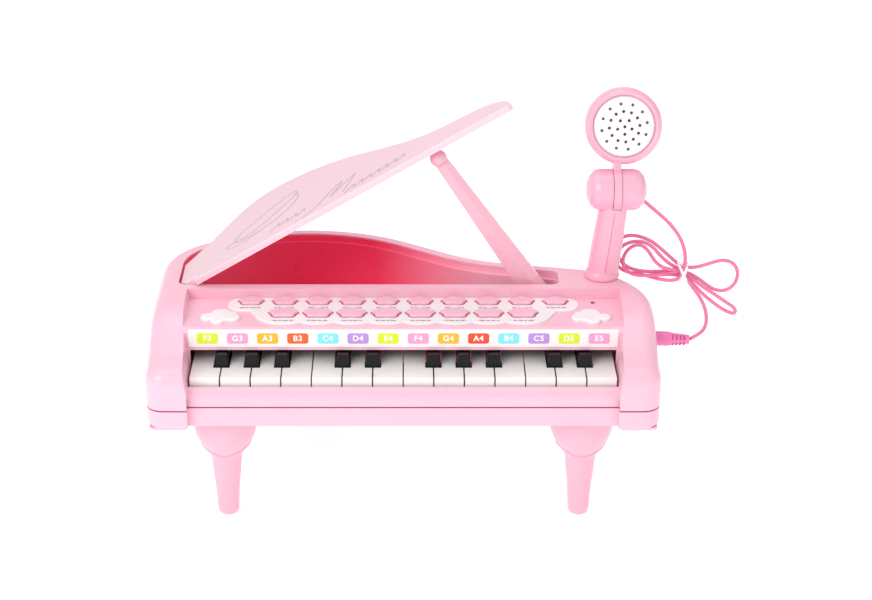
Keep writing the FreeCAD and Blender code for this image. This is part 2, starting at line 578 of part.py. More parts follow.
def mic_handle():
    """The handle with its collar and the two outer halves of the barrel."""
    lean = math.degrees(math.atan2(BARREL_DX, BARREL_Z - DECK_Z))
    stem = smooth_profile([(12.7, 0.6), (12.6, 12.0), (12.2, 34.0), (11.7, 52.0), (11.5, 66.0)], (0, 0, 0))
    stem.rotate(Vector(0, 0, 0), ALONG_Y, lean)
    stem.translate(Vector(MIC_X, MIC_Y, DECK_Z + 1))
    collar = revolve([(0, 0.0), (13.0, 0.0), (13.9, 0.8), (14.0, 2.2), (13.4, 4.6), (12.4, 6.6), (0, 6.6)],
                     (MIC_X, MIC_Y, DECK_Z + 0.02))
    peg = rod(6.0, 4.4, (MIC_X, MIC_Y, DECK_Z - 3.8))
    centre = Vector(MIC_X + BARREL_DX, MIC_Y, BARREL_Z)
    cap = [(0, -24.3), (6, -23.6), (11.5, -21.4), (15.2, -18.0), (BARREL_R, -14.0), (BARREL_R, 14.0),
           (15.2, 18.0), (11.5, 21.4), (6, 23.6), (0, 24.3)]
    barrel = revolve(cap, centre, ALONG_X)
    body = fuse([stem, collar, peg, barrel])
    slot = Part.makeCylinder(BARREL_R + 1.0, 2 * NECK_HALF + 0.8, centre - Vector(NECK_HALF + 0.4, 0, 0), ALONG_X)
    slot = slot.fuse(box(centre.x - NECK_HALF - 0.4, centre.x + NECK_HALF + 0.4, MIC_Y - 20, MIC_Y + 20,
                         BARREL_Z, BARREL_Z + 20))
    bore = Part.makeCylinder(PIN_R + 0.05, 24, centre - Vector(12, 0, 0), ALONG_X)
    start, after = [Vector(*p) for p in cord_route_to_tie()[:2]]
    leaving = (after - start).normalize()
    gland = Part.makeCone(3.6, 2.4, 7.0, start - leaving * 7.0, leaving)
    return fuse([body.cut(slot).cut(bore), gland])


HEAD_R = 30.3
GRILLE_R = 24.5
HEAD_Y0, HEAD_Y1 = -10.0, 10.0


def mic_head():
    """The round head with the neck that turns between the barrel's halves."""
    centre = Vector(MIC_X + HEAD_DX, MIC_Y, HEAD_Z)
    pivot = Vector(MIC_X + BARREL_DX, MIC_Y, BARREL_Z)
    ring = revolve([(0, HEAD_Y0 + 3), (GRILLE_R, HEAD_Y0 + 3), (GRILLE_R + 0.6, HEAD_Y0 + 0.6),
                    (GRILLE_R + 2.4, HEAD_Y0), (HEAD_R - 2.2, HEAD_Y0 + 1.2), (HEAD_R, HEAD_Y0 + 5),
                    (HEAD_R, HEAD_Y1 - 5), (HEAD_R - 3, HEAD_Y1 - 1), (HEAD_R - 8, HEAD_Y1 + 1.5),
                    (0, HEAD_Y1 + 3.5)], centre, ALONG_Y)
    disc = Part.makeCylinder(BARREL_R + 0.7, 2 * NECK_HALF, pivot - Vector(NECK_HALF, 0, 0), ALONG_X)
    neck = box(-NECK_HALF, NECK_HALF, -7.0, 7.0, 10.0, 30.0)
    neck.translate(pivot)
    pin = Part.makeCylinder(PIN_R, 22, pivot - Vector(11, 0, 0), ALONG_X)
    return tilted(fuse([ring, disc, neck, pin]))


def mic_grille():
    """The domed white grille with rings of sound holes."""
    centre = Vector(MIC_X + HEAD_DX, MIC_Y, HEAD_Z)
    dome = revolve([(0, HEAD_Y0 - 2.6), (9, HEAD_Y0 - 2.2), (17, HEAD_Y0 - 0.9), (GRILLE_R - 1.4, HEAD_Y0 + 1.2),
                    (GRILLE_R - 0.3, HEAD_Y0 + 2.98), (GRILLE_R - 3, HEAD_Y0 + 2.98), (17, HEAD_Y0 + 1.0),
                    (9, HEAD_Y0 - 0.4), (0, HEAD_Y0 - 0.8)], centre, ALONG_Y)
    for count, ring_r, phase in ((1, 0, 0), (5, 5.9, 55), (12, 12.0, 5), (12, 18.0, 10)):
        for i in range(count):
            a = math.radians(phase + 360 * i / count)
            spot = centre + Vector(ring_r * math.cos(a), HEAD_Y0 - 6, ring_r * math.sin(a))
            dome = dome.cut(Part.makeCylinder(1.25, 12, spot, ALONG_Y))
    return tilted(dome)


# ---- cord ----
def cord_route_to_tie():
    """From the barrel of the microphone down to the tie of the hank."""
    return [(191.2, 128.0, 232.5), (202.6, 133.0, 221.1), (215.0, 137.0, 208.8), (224.0, 140.0, 196.1),
            (229.0, 142.0, 184.0), (228.6, 142.0, 172.4)]


def cord_route_to_plug():
    """From the tie, out to the right and forward, round into the end of the plug."""
    return [(227.0, 142.0, 159.4), (235.2, 139.0, 153.0), (241.2, 130.0, 148.0), (244.4, 117.0, 144.6),
            (244.6, 102.0, 142.0), (242.2, 87.0, 140.6), (236.4, 73.4, 140.0), (226.6, 63.2, 140.3)]


def cord_tube(points):
    """Straight runs joined by tangent arcs, as large as the two runs of each corner allow."""
    points = [Vector(*p) for p in points]
    edges, last, radii, length = [], points[0], [], 0.0
    for before, corner, after in zip(points, points[1:], points[2:]):
        run_in, run_out = corner - before, after - corner
        turn = run_in.getAngle(run_out)
        cut = 0.45 * min(run_in.Length, run_out.Length)
        radii.append(cut / math.tan(turn / 2))
        start = corner - Vector(run_in).normalize() * cut
        end = corner + Vector(run_out).normalize() * cut
        inward = (start + end) * 0.5 - corner
        middle = corner + Vector(inward).normalize() * (radii[-1] / math.cos(turn / 2) - radii[-1])
        edges += [Part.LineSegment(last, start).toShape(), Part.Arc(start, middle, end).toShape()]
        last = end
    edges.append(Part.LineSegment(last, points[-1]).toShape())
    path = Part.Wire(edges)
    ring = Part.Wire(Part.Circle(points[0], points[1] - points[0], CORD_D / 2).toShape())
    tube = path.makePipeShell([ring], True, False)
    expected = math.pi * (CORD_D / 2) ** 2 * path.Length
    print("cord: length %.1f, radii %s, volume %.4f of section x length"
          % (path.Length, [round(r, 1) for r in radii], tube.Volume / expected))
    return tube


def cord_hank():
    """The outer shape of the tied hank: a bow of loops either side of its tie."""
    left = [(226.6, 172.2), (214.3, 178.6), (206.0, 188.4), (195.6, 191.6), (183.2, 184.4), (177.2, 172.8),
            (182.0, 162.6), (200.0, 157.6), (220.0, 158.6), (226.6, 160.9)]
    right = [(230.8, 160.9), (241.0, 150.2), (257.0, 139.0), (270.6, 127.4), (275.0, 131.2), (266.8, 142.8),
             (275.8, 153.0), (274.6, 163.0), (262.4, 171.8), (246.0, 170.2), (230.8, 172.2)]
    y0, y1 = 137.0, 147.0
    lobes = []
    for outline in (left, right):
        curve = Part.BSplineCurve()
        curve.interpolate([Vector(x, y0, z) for x, z in outline])
        first, final = outline[0], outline[-1]
        side = Part.makeLine(Vector(final[0], y0, final[1]), Vector(first[0], y0, first[1]))
        lobes.append(Part.Face(Part.Wire([curve.toShape(), side])).extrude(Vector(0, y1 - y0, 0)))
    return fuse(lobes + [box(226.6, 230.8, y0, y1, 160.9, 172.2)])


def mic_plug():
    """The plug in the side of the case, with its tapered grip and metal tip."""
    base = Vector(HALF_WIDTH - 3.0, JACK_Y, JACK_Z)
    lean = Vector(1, 0, -0.04)
    grip = revolve([(0, 0), (5.75, 0), (5.75, 14.0), (4.9, 17.5), (4.3, 24.0), (3.7, 30.6), (0, 30.6)], base, lean)
    tip = rod(3.1, 11.0, (HALF_WIDTH - 13.5, JACK_Y, JACK_Z), ALONG_X)
    return fuse([grip, tip])


# ---- inside the case ----
def circuit_boards():
    """The button board, the key board with its rubber strip, and the microphone's jack."""
    board = box(-152, 152, 46, 92, 148.0, 149.6)
    domes = [rod(4.0, 2.8, (x, y, 149.5)) for _, x, y, _ in button_places()]
    key_board = box(-164, 164, 50, 70, 113.6, 115.2)
    strip = rounded(box(-163, 163, 56.5, 63.5, 115.1, 119.8), 1.0, at_height(119.8))
    jack = box(181.0, 194.8, JACK_Y - 6.5, JACK_Y + 6.5, JACK_Z - 6.5, JACK_Z + 6.5)
    jack = jack.cut(rod(3.3, 20, (179, JACK_Y, JACK_Z), ALONG_X))
    jack = jack.cut(rod(6.1, 3.0, (192.4, JACK_Y, JACK_Z), ALONG_X))
    switch_body = box(SWITCH[0] - 9, SWITCH[0] + 9, SWITCH[1] - 5, SWITCH[1] + 5, 103.4, 110.0)
    return Part.makeCompound([fuse([board] + domes), fuse([key_board, strip]), jack, switch_body])


def board_posts(upper):
    if upper:
        return [rod(2.6, 9.0, (x, 76.4, 149.6)) for x in (-146, -26.9, 26.9, 146)]
    return [rod(2.6, 15.4, (x, 53.0, 98.2)) for x in (-155, -50, 50, 155)]


def speaker():
    basket = revolve([(0, 0), (SPEAKER_R, 0), (SPEAKER_R, 2.0), (SPEAKER_R - 3, 3.0), (14, 10.0), (13.5, 18.0),
                      (0, 18.0)], (SPEAKER[0], SPEAKER[1], FLOOR_Z + WALL + 0.02))
    cone = revolve([(0, -1), (24, -1), (8, 7), (0, 7)], (SPEAKER[0], SPEAKER[1], FLOOR_Z + WALL))
    return basket.cut(cone)


def power_switch():
    knob = box(SWITCH[0] - 3, SWITCH[0] + 3, SWITCH[1] - 2.6, SWITCH[1] + 2.6, FLOOR_Z - 1.2, FLOOR_Z + 3)
    slider = box(SWITCH[0] - 9, SWITCH[0] + 6.5, SWITCH[1] - 5, SWITCH[1] + 5, FLOOR_Z + WALL + 0.1, 103.0)
    return fuse([knob, slider])


def screws_and_pins():
    """Case and leg screws, the key rod, the hinge pins and the battery contacts."""
    solids = []
    for x, y in SCREWS:
        solids.append(fuse([rod(3.0, 2.0, (x, y, 97.1)), rod(1.25, 17.0, (x, y, 98.5))]))
    for x, y in leg_places():
        solids.append(fuse([rod(3.4, 2.0, (x, y, 109.2)), rod(1.35, 16.0, (x, y, 93.5))]))
    solids.append(rod(1.5, 336.0, (-168, KEY_PIVOT_Y, KEY_PIVOT_Z), ALONG_X))
    solids.append(rod(1.5, LID_LUGS_Y[1][1] - 102.4, (LID_AXIS[0], 102.2, LID_AXIS[1]), ALONG_Y))
    solids.append(rod(1.5, 12.0, (PROP_AXIS[0], 102.2, PROP_AXIS[1]), ALONG_Y))
    x0, x1, y0, y1 = BATTERY
    for i in range(3):
        y = y0 + (i + 0.5) * (y1 - y0) / 3
        solids.append(box(x0 - 1.9, x0 - 1.3, y - 5, y + 5, 100, 114))
        solids.append(box(x1 + 1.3, x1 + 1.9, y - 5, y + 5, 100, 114))
    return Part.makeCompound(solids)


# ---- assembly ----
def build():
    nodes = {"upper_shell": upper_shell(), "lower_shell": lower_shell(), "panel_trim": panel_trim(),
             "label_strip": label_strip(), "lid": lid(), "lid_prop": lid_prop(),
             "legs": Part.makeCompound([leg(x, y) for x, y in leg_places()]),
             "mic_handle": mic_handle(), "mic_head": mic_head(), "mic_grille": mic_grille(),
             "mic_cord": Part.makeCompound([cord_tube(cord_route_to_tie()), cord_tube(cord_route_to_plug())]),
             "cord_hank": cord_hank(), "mic_plug": mic_plug(), "circuit_boards": circuit_boards(),
             "speaker": speaker(), "battery_door": battery_door(), "power_switch": power_switch(),
             "screws_and_pins": screws_and_pins()}
    for number in range(1, WHITE_KEYS + 1):
        nodes["white_key_%02d" % number] = white_key(number)
    for order, number in enumerate(BLACK_AFTER, 1):
        nodes["black_key_%02d" % order] = black_key(number)
    for name, x, y, radius in button_places():
        nodes[name] = button(x, y, radius)
    return nodes


CORD_NODES = ("mic_cord", "cord_hank", "mic_plug")


def origin_of(nodes):
    """The middle of the footprint, on the floor, without the cord and its plug."""
    whole = Part.makeCompound([shape for name, shape in nodes.items() if name not in CORD_NODES])
    extent = whole.optimalBoundingBox(False, False)
    return Vector((extent.XMin + extent.XMax) / 2, (extent.YMin + extent.YMax) / 2, extent.ZMin), extent


def main():
    nodes = build()
    origin, extent = origin_of(nodes)
    print("origin in the keyboard frame: %.3f %.3f %.3f" % tuple(origin))
    print("size without the cord: %.1f x %.1f x %.1f" % (extent.XLength, extent.YLength, extent.ZLength))
    os.makedirs("parts", exist_ok=True)
    for name, shape in nodes.items():
        moved = shape.copy()
        moved.translate(origin * -1)
        if not moved.isValid():
            print("not valid:", name)
        if len(moved.Solids) != 1:
            print(name, "has", len(moved.Solids), "solids")
        moved.exportStep("parts/%s.step" % name)


main()
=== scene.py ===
import bpy
import math
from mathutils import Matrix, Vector


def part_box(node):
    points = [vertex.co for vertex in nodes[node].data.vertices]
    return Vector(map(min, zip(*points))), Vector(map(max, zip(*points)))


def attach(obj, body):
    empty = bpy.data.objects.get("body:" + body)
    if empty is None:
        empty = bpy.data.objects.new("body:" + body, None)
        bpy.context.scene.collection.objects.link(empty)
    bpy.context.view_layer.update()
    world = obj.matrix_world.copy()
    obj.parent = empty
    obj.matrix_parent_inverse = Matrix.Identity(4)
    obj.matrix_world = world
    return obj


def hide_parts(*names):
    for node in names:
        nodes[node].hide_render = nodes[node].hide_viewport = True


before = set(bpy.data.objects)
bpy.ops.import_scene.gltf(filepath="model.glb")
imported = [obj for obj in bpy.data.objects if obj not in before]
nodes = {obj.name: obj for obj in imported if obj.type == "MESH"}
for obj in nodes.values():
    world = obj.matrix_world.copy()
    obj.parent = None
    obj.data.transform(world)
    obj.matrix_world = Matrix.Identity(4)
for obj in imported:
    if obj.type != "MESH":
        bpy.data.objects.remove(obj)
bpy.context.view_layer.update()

# ---- places ----
# Sizes are in millimetres from the middle of the keyboard, the face of the front bar and the floor.
ORIGIN = Vector((3.15, 109.251, 0.0))


def at(x, y, z):
    """A point in the row frame, in metres, from millimetres in the keyboard's own frame."""
    return (Vector((x, y, z)) - ORIGIN) / 1000


WHITE_KEYS = ["white_key_%02d" % i for i in range(1, 15)]
BLACK_KEYS = ["black_key_%02d" % i for i in range(1, 11)]
BUTTONS = sorted(n for n in nodes if "_button_" in n)
NOTES = ("F3", "G3", "A3", "B3", "C4", "D4", "E4", "F4", "G4", "A4", "B4", "C5", "D5", "E5")
LID_ANGLE = math.radians(30.7)
LID_PIN = (-165.3, 165.5)
LID_TOP = 9.0                 # hinge pin to the lid's upper face


# ---- materials ----
def linear_channel(value):
    """Scene-linear light of one channel, by the sRGB curve, from its 0 to 255 display value."""
    if value < 10:
        return value / 255 / 12.92
    return ((value / 255 + 0.055) / 1.055) ** 2.4


def linear(r, g, b):
    """Scene-linear colour from 0 to 255 display values."""
    return tuple(linear_channel(value) for value in (r, g, b)) + (1,)


class Nodes:
    """A material's node tree, with short calls for the nodes used here."""

    def __init__(self, name):
        self.material = bpy.data.materials.new(name)
        self.material.use_nodes = True
        self.tree = self.material.node_tree
        self.shader = self.tree.nodes["Principled BSDF"]

    def add(self, kind, inputs=None, **settings):
        node = self.tree.nodes.new(kind)
        for key, value in settings.items():
            setattr(node, key, value)
        for key, value in (inputs or {}).items():
            if isinstance(value, bpy.types.NodeSocket):
                self.tree.links.new(value, node.inputs[key])
            else:
                node.inputs[key].default_value = value
        return node

    def link(self, out, into):
        self.tree.links.new(out, self.shader.inputs[into])

    def place(self):
        """Position in the object, in metres."""
        return self.add("ShaderNodeTexCoord").outputs["Object"]

    def noise(self, scale, detail=3.0, rough=0.5):
        settings = {"Vector": self.place(), "Scale": scale, "Detail": detail, "Roughness": rough}
        return self.add("ShaderNodeTexNoise", settings).outputs["Fac"]

    def spread(self, value, low, high, new_low, new_high):
        """The value carried over from one range to another."""
        return self.add("ShaderNodeMapRange", {"Value": value, "From Min": low, "From Max": high,
                                               "To Min": new_low, "To Max": new_high}).outputs["Result"]

    def mixed(self, factor, one, other):
        node = self.add("ShaderNodeMix", data_type="RGBA")
        for socket, value in ((node.inputs[0], factor), (node.inputs[6], one), (node.inputs[7], other)):
            if isinstance(value, bpy.types.NodeSocket):
                self.tree.links.new(value, socket)
            else:
                socket.default_value = value
        return node.outputs[2]

    def maths(self, operation, a, b=0.0):
        node = self.add("ShaderNodeMath", operation=operation)
        for socket, value in zip(node.inputs, (a, b)):
            if isinstance(value, bpy.types.NodeSocket):
                self.tree.links.new(value, socket)
            else:
                socket.default_value = value
        return node.outputs[0]


def moulded(name, colour, rough=0.3, soft=0.0, grain=0.02, coat=0.0, mottle=0.05, pick=None):
    """Injection-moulded plastic: flow mottling, polish marks, an uneven gloss and a faint orange peel."""
    m = Nodes(name)
    base = linear(*colour)
    deep = linear(*[c * (1 - mottle) for c in colour])
    flow = m.spread(m.noise(14, 4, 0.55), 0.3, 0.7, 0, 1)
    shade = m.mixed(flow, base, tuple(b + (d - b) * 0.5 for b, d in zip(base, deep)))
    if pick:
        shade = pick(m, shade)
    m.link(shade, "Base Color")
    polish = m.noise(120, 5, 0.6)
    m.link(m.spread(polish, 0.25, 0.75, rough * 0.86, rough * 1.16), "Roughness")
    peel = m.noise(420, 3, 0.5)
    waves = m.noise(45, 2, 0.4)
    height = m.maths("ADD", m.maths("MULTIPLY", peel, 0.35), waves)
    bump = m.add("ShaderNodeBump", {"Height": height, "Strength": grain, "Distance": 0.001})
    m.link(bump.outputs["Normal"], "Normal")
    m.shader.inputs["IOR"].default_value = 1.53
    m.shader.inputs["Coat Weight"].default_value = coat
    m.shader.inputs["Coat Roughness"].default_value = 0.08
    if soft:
        m.shader.inputs["Subsurface Weight"].default_value = soft
        m.shader.inputs["Subsurface Radius"].default_value = (0.004, 0.0016, 0.0018)
        m.shader.inputs["Subsurface Scale"].default_value = 1.0
    return m.material


def dress(names, material):
    """The material for one CAD node or for several."""
    for name in [names] if isinstance(names, str) else names:
        thing = nodes[name]
        thing.data.materials.clear()
        thing.data.materials.append(material)


PINK = (250, 193, 211)
# Deep rose painted into the well under the lid as its shade.
WELL_SHADE_RED = linear(255, 74, 118)
SEAM_RED = linear(176, 40, 90)
SEAM_Z = 0.1122               # metres
HANDLE_FOOT = at(161.0, 0.0, 170.0)
HANDLE_LEAN = 8.7 / 75.2      # how far the handle goes right as it rises
HANDLE_SEAM = (0.1765, 0.2290)      # metres, from the foot of the line to its top
RIM_Z = 0.1690                # metres
WELL_MIDDLE = at(-60, 140, 170)


def seam_line(m, shade):
    """The dark rose line where the upper and lower shells meet."""
    height = m.add("ShaderNodeSeparateXYZ", {"Vector": m.place()}).outputs[2]
    off = m.maths("ABSOLUTE", m.maths("SUBTRACT", height, SEAM_Z))
    return m.mixed(m.spread(off, 0.0005, 0.0009, 0.85, 0.0), shade, SEAM_RED)


def mic_seam(m, shade):
    """The front mould line of the handle, which leans with it."""
    x, y, z = m.add("ShaderNodeSeparateXYZ", {"Vector": m.place()}).outputs
    lean = m.maths("MULTIPLY", m.maths("SUBTRACT", z, HANDLE_FOOT.z), HANDLE_LEAN)
    off = m.maths("ABSOLUTE", m.maths("SUBTRACT", x, m.maths("ADD", lean, HANDLE_FOOT.x)))
    line = m.spread(off, 0.0002, 0.0005, 0.55, 0.0)
    foot, top = HANDLE_SEAM
    below_top = m.spread(z, top, top - 0.0010, 0, 1)
    on_stem = m.maths("MULTIPLY", below_top, m.spread(z, foot, foot + 0.0005, 0, 1))
    return m.mixed(m.maths("MULTIPLY", line, on_stem), shade, SEAM_RED)


def painted_well_shade(m, shade):
    """Painted shade in the well under the lid: the pink deepens to rose on the left and fades towards the
    narrow right end, standing in for the shade and rose interreflection in the recess.
    """
    x, y, z = m.add("ShaderNodeSeparateXYZ", {"Vector": m.place()}).outputs
    behind_bar = m.spread(y, at(0, 104.0, 0).y, at(0, 104.8, 0).y, 0, 1)
    below_rim = m.spread(z, RIM_Z, RIM_Z - 0.0020, 0, 1)
    fade = m.spread(x, at(-24, 0, 0).x, at(66, 0, 0).x, 1.0, 0.08)
    leftward = m.spread(x, at(-175, 0, 0).x, at(-90, 0, 0).x, 0.8, 1.0)
    depth = m.maths("MULTIPLY", behind_bar, below_rim)
    inner = m.maths("MULTIPLY", depth, m.maths("MULTIPLY", fade, leftward))
    # A surface belongs to the well when it faces the middle of the well.
    inward = m.add("ShaderNodeVectorMath", {0: WELL_MIDDLE, 1: m.place()}, operation="SUBTRACT")
    normal = m.add("ShaderNodeNewGeometry").outputs["Normal"]
    facing = m.add("ShaderNodeVectorMath", {0: normal, 1: inward.outputs["Vector"]}, operation="DOT_PRODUCT")
    faces_in = m.spread(facing.outputs["Value"], -0.001, 0.002, 0, 1)
    return seam_line(m, m.mixed(m.maths("MULTIPLY", inner, faces_in), shade, WELL_SHADE_RED))


# The case's material carries the painted shade of the well as well as the seam line.
case_pink = moulded("case_pink", PINK, 0.3, soft=0.05, coat=0.1, mottle=0.03, pick=painted_well_shade)
lower_pink = moulded("lower_pink", PINK, 0.3, soft=0.05, coat=0.1, mottle=0.03, pick=seam_line)
lid_pink = moulded("lid_pink", (244, 206, 217), 0.26, soft=0.05, coat=0.12, mottle=0.03)
prop_pink = moulded("prop_pink", (244, 184, 200), 0.28, soft=0.06, coat=0.1, mottle=0.03)
leg_pink = moulded("leg_pink", (250, 180, 198), 0.3, soft=0.06, coat=0.1, mottle=0.03)
mic_pink = moulded("mic_pink", (248, 180, 202), 0.26, soft=0.06, coat=0.12, mottle=0.03, pick=mic_seam)
button_pink = moulded("button_pink", (249, 192, 212), 0.22, soft=0.15, coat=0.3)
trim_white = moulded("trim_white", (247, 241, 242), 0.2, soft=0.06, coat=0.4, mottle=0.02)
key_white = moulded("key_white", (244, 240, 238), 0.16, soft=0.05, coat=0.5, mottle=0.02)
key_black = moulded("key_black", (9, 9, 11), 0.2, grain=0.01)
key_black.node_tree.nodes["Principled BSDF"].inputs["Specular IOR Level"].default_value = 0.3
strip_white = moulded("strip_white", (247, 243, 240), 0.3, mottle=0.02)
grille_white = moulded("grille_white", (240, 240, 241), 0.24, coat=0.3, mottle=0.02)
cord_pink = moulded("cord_pink", (243, 128, 174), 0.38, soft=0.1, mottle=0.08)
plug_pink = moulded("plug_pink", (240, 128, 184), 0.36, soft=0.1, mottle=0.06)
tie_white = moulded("tie_white", (250, 250, 252), 0.3, mottle=0.02)
board_green = moulded("board_green", (40, 92, 44), 0.45)
speaker_black = moulded("speaker_black", (22, 22, 24), 0.6, grain=0.1)
mark_red = moulded("mark_red", (150, 28, 74), 0.5)
script_grey = moulded("script_grey", (206, 192, 200), 0.35)
led_dark = moulded("led_dark", (60, 10, 24), 0.2, coat=0.6)
# Dark rose for the painted shadow around the buttons.
shadow_rose = moulded("shadow_rose", (206, 84, 128), 0.6)
slot_rose = moulded("slot_rose", (196, 60, 120), 0.6)


def brushed(name, colour):
    """Bare metal with a gloss that varies in streaks."""
    m = Nodes(name)
    streaks = m.add("ShaderNodeTexNoise", {"Vector": m.place(), "Scale": 300.0, "Detail": 4.0})
    m.link(m.spread(streaks.outputs["Fac"], 0.3, 0.7, 0.22, 0.4), "Roughness")
    m.shader.inputs["Base Color"].default_value = linear(*colour)
    m.shader.inputs["Metallic"].default_value = 1.0
    return m.material


steel = brushed("steel", (205, 205, 208))

dress("upper_shell", case_pink)
dress(("lower_shell", "battery_door"), lower_pink)
dress("lid", lid_pink)
dress("lid_prop", prop_pink)
dress("legs", leg_pink)
dress(("mic_handle", "mic_head"), mic_pink)
dress("mic_grille", grille_white)
dress("mic_plug", plug_pink)
dress("panel_trim", trim_white)
dress("label_strip", strip_white)
dress(WHITE_KEYS, key_white)
dress(BLACK_KEYS, key_black)
dress(BUTTONS, button_pink)
dress("circuit_boards", board_green)
dress("speaker", speaker_black)
dress("power_switch", grille_white)
dress("screws_and_pins", steel)

# ---- the microphone's cord: one length from the barrel, through the tied hank, to the plug ----
# The strands of the hank lie in four layers, so that none runs through another. Its points began as
# places measured on the photograph with a scratch script, and were then moved and joined up by hand.
FIRST, FRONT, MIDDLE, BACK = 135.4, 138.7, 142.0, 145.3
CORD_ROUTE = [
    (191.2, 128.0, 232.5), (202.6, 133.0, 221.1), (215.0, 137.0, 208.8), (224.4, 139.0, 196.1),
    (229.4, 138.4, 184.0), (229.9, FIRST, 173.0), (228.7, FIRST, 165.0), (225.5, FIRST, 160.0),
    (219.0, FIRST, 158.0), (210.0, 138.5, 158.0), (202.0, 142.5, 158.6), (194.0, BACK, 159.8),
    (185.0, BACK, 161.0), (178.0, BACK, 164.5), (173.0, BACK, 170.5), (171.3, BACK, 178.0),
    (172.3, BACK, 186.0), (176.5, BACK, 191.5), (183.0, BACK, 194.3), (190.0, BACK, 194.0),
    (197.0, BACK, 191.8), (203.6, BACK, 188.5), (210.0, BACK, 183.0), (217.5, BACK, 176.0),
    (224.0, BACK, 170.0), (229.5, BACK, 166.4), (236.0, BACK, 165.4), (243.8, BACK, 166.6),
    (253.0, BACK, 170.0), (261.5, BACK, 172.4), (269.5, BACK, 170.6), (274.4, BACK, 164.3),
    (275.0, BACK, 156.0), (271.8, BACK, 148.8), (265.5, BACK, 144.6), (258.0, BACK, 144.9),
    (250.8, BACK, 149.2), (243.8, BACK, 155.0), (236.0, BACK, 160.0), (229.5, BACK, 161.8),
    (222.0, BACK, 162.6), (215.0, 144.0, 163.0), (207.0, 142.2, 163.2), (195.9, MIDDLE, 163.6),
    (186.7, MIDDLE, 165.8), (180.0, MIDDLE, 170.0), (175.8, MIDDLE, 176.0), (175.8, MIDDLE, 183.0),
    (180.5, MIDDLE, 188.0), (188.5, MIDDLE, 190.6), (196.7, MIDDLE, 189.8), (204.0, MIDDLE, 185.0),
    (209.0, MIDDLE, 178.7), (215.0, MIDDLE, 172.5), (221.5, MIDDLE, 168.2), (227.0, MIDDLE, 165.5),
    (232.0, MIDDLE, 161.5), (238.5, MIDDLE, 156.0), (247.0, MIDDLE, 149.2), (258.0, MIDDLE, 141.8),
    (267.0, MIDDLE, 135.2), (274.6, MIDDLE, 130.0), (274.4, MIDDLE, 124.8), (266.5, MIDDLE, 127.4),
    (256.5, MIDDLE, 134.6), (247.5, MIDDLE, 142.2), (239.5, MIDDLE, 150.8), (232.5, MIDDLE, 157.3),
    (226.0, 141.6, 160.4), (218.5, 139.4, 162.0), (207.5, FRONT, 161.8), (195.9, FRONT, 161.0),
    (186.5, FRONT, 162.5), (180.3, FRONT, 168.0), (178.8, FRONT, 176.0), (182.0, FRONT, 183.8),
    (188.0, FRONT, 188.6), (195.0, FRONT, 188.2), (200.3, FRONT, 182.3), (204.2, FRONT, 175.4),
    (210.0, FRONT, 169.4), (217.5, FRONT, 166.8), (224.0, FRONT, 166.0), (229.2, FRONT, 163.3),
    (232.7, 137.4, 158.3), (236.6, 134.6, 152.8), (241.2, 130.0, 148.0), (244.4, 117.0, 144.6),
    (244.6, 102.0, 142.0), (242.2, 87.0, 140.6), (236.4, 73.4, 140.0), (226.6, 63.2, 140.3),
]


def smooth_curve(name, points, radius, material, closed=False):
    """A round tube along one NURBS curve whose control points are the given points."""
    curve = bpy.data.curves.new(name, "CURVE")
    curve.dimensions = "3D"
    curve.bevel_depth = radius
    curve.bevel_resolution = 6
    curve.use_fill_caps = True
    curve.resolution_u = 12
    spline = curve.splines.new("NURBS")
    spline.points.add(len(points) - 1)
    for point, place in zip(spline.points, points):
        point.co = (*at(*place), 1)
    spline.order_u = 3
    spline.use_endpoint_u = not closed
    spline.use_cyclic_u = closed
    thing = bpy.data.objects.new(name, curve)
    bpy.context.scene.collection.objects.link(thing)
    curve.materials.append(material)
    return thing


cord = smooth_curve("microphone_cord", CORD_ROUTE, 0.0015, cord_pink)
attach(cord, "case")
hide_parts("mic_cord", "cord_hank")

TIE_X, TIE_Y, TIE_Z = 228.6, 140.3, 164.2
TIE_REACH = (3.6, 8.4, 7.6)         # how far the tie goes from its middle: sideways, in depth and up
TIE_STEPS = 12                      # points in each of its two turns


def tie_route():
    """Two turns around the hank that cross in an X, and the wire's free end."""
    points = []
    for step in range(2 * TIE_STEPS + 1):
        turn = 2 * math.pi * step / TIE_STEPS
        x = TIE_X + TIE_REACH[0] * math.cos(turn) * (1 if step < TIE_STEPS else -1)
        points.append((x, TIE_Y + TIE_REACH[1] * math.sin(turn), TIE_Z + TIE_REACH[2] * math.cos(turn)))
    return points + [(TIE_X - 4, TIE_Y - 4, TIE_Z + 9.4), (TIE_X - 2, TIE_Y - 7, TIE_Z + 10.6)]


tie = smooth_curve("wire_tie", tie_route(), 0.0012, tie_white)
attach(tie, "case")


# ---- flat details ----
def mesh_piece(name, vertices, faces, material, body):
    """A piece with its own vertices and faces, which rides on a body."""
    mesh = bpy.data.meshes.new(name)
    mesh.from_pydata(vertices, [], faces)
    mesh.update()
    mesh.materials.append(material)
    thing = bpy.data.objects.new(name, mesh)
    bpy.context.scene.collection.objects.link(thing)
    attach(thing, body)
    return thing


def rounded_rectangle(width, height, radius, steps=5):
    """The outline of a rectangle with round corners, around its middle."""
    points = []
    for side_x, side_y, start in ((1, 1, 0), (-1, 1, 90), (-1, -1, 180), (1, -1, 270)):
        for i in range(steps + 1):
            a = math.radians(start + 90 * i / steps)
            points.append((side_x * (width / 2 - radius) + radius * math.cos(a),
                           side_y * (height / 2 - radius) + radius * math.sin(a)))
    return points


# ---- note labels on the strip above the keys ----
def chip_material(name, colour):
    return moulded(name, colour, 0.32, mottle=0.03)


